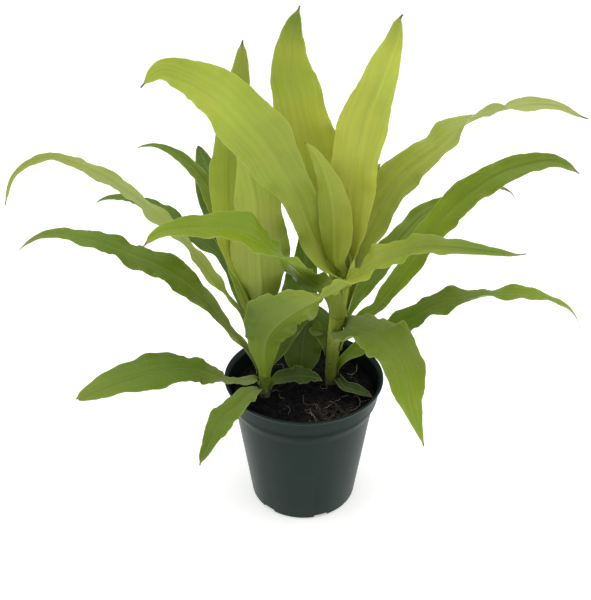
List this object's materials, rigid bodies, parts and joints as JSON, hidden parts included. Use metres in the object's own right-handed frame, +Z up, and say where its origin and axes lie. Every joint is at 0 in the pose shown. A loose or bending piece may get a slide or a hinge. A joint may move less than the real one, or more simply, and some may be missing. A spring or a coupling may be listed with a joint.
{
  "type": "potted dracaena",
  "caption": "Leafy dracaena house plant: long waved strap leaves clasping short upright stems, rooted in potting soil in a round tapered nursery pot.",
  "frame": {"origin": "centre of the pot's flat underside, on the pot's axis", "axes": "+Z up along the pot's axis, -Y towards the front, +X to the right when seen from the front"},
  "size_m": [0.3865, 0.189, 0.3523],
  "materials": {
    "pot_plastic": "satin",
    "potting_soil": "matte",
    "stem_green": "satin",
    "leaf_green": "satin"
  },
  "bodies": {
    "root": {"pot": "pot_plastic", "soil": "potting_soil", "stem_left": "stem_green", "stem_right": "stem_green", "leaf_left_01": "leaf_green", "leaf_left_02": "leaf_green", "leaf_left_03": "leaf_green", "leaf_left_04": "leaf_green", "leaf_left_05": "leaf_green", "leaf_left_06": "leaf_green", "leaf_left_07": "leaf_green", "leaf_left_08": "leaf_green", "leaf_left_09": "leaf_green", "leaf_left_10": "leaf_green", "leaf_left_11": "leaf_green", "leaf_left_12": "leaf_green", "leaf_right_01": "leaf_green", "leaf_right_02": "leaf_green", "leaf_right_03": "leaf_green", "leaf_right_04": "leaf_green", "leaf_right_05": "leaf_green", "leaf_right_06": "leaf_green", "leaf_right_07": "leaf_green", "leaf_right_08": "leaf_green", "leaf_right_09": "leaf_green", "leaf_right_10": "leaf_green", "leaf_right_11": "leaf_green", "leaf_right_12": "leaf_green", "leaf_right_13": "leaf_green"}
  },
  "joints": []
}
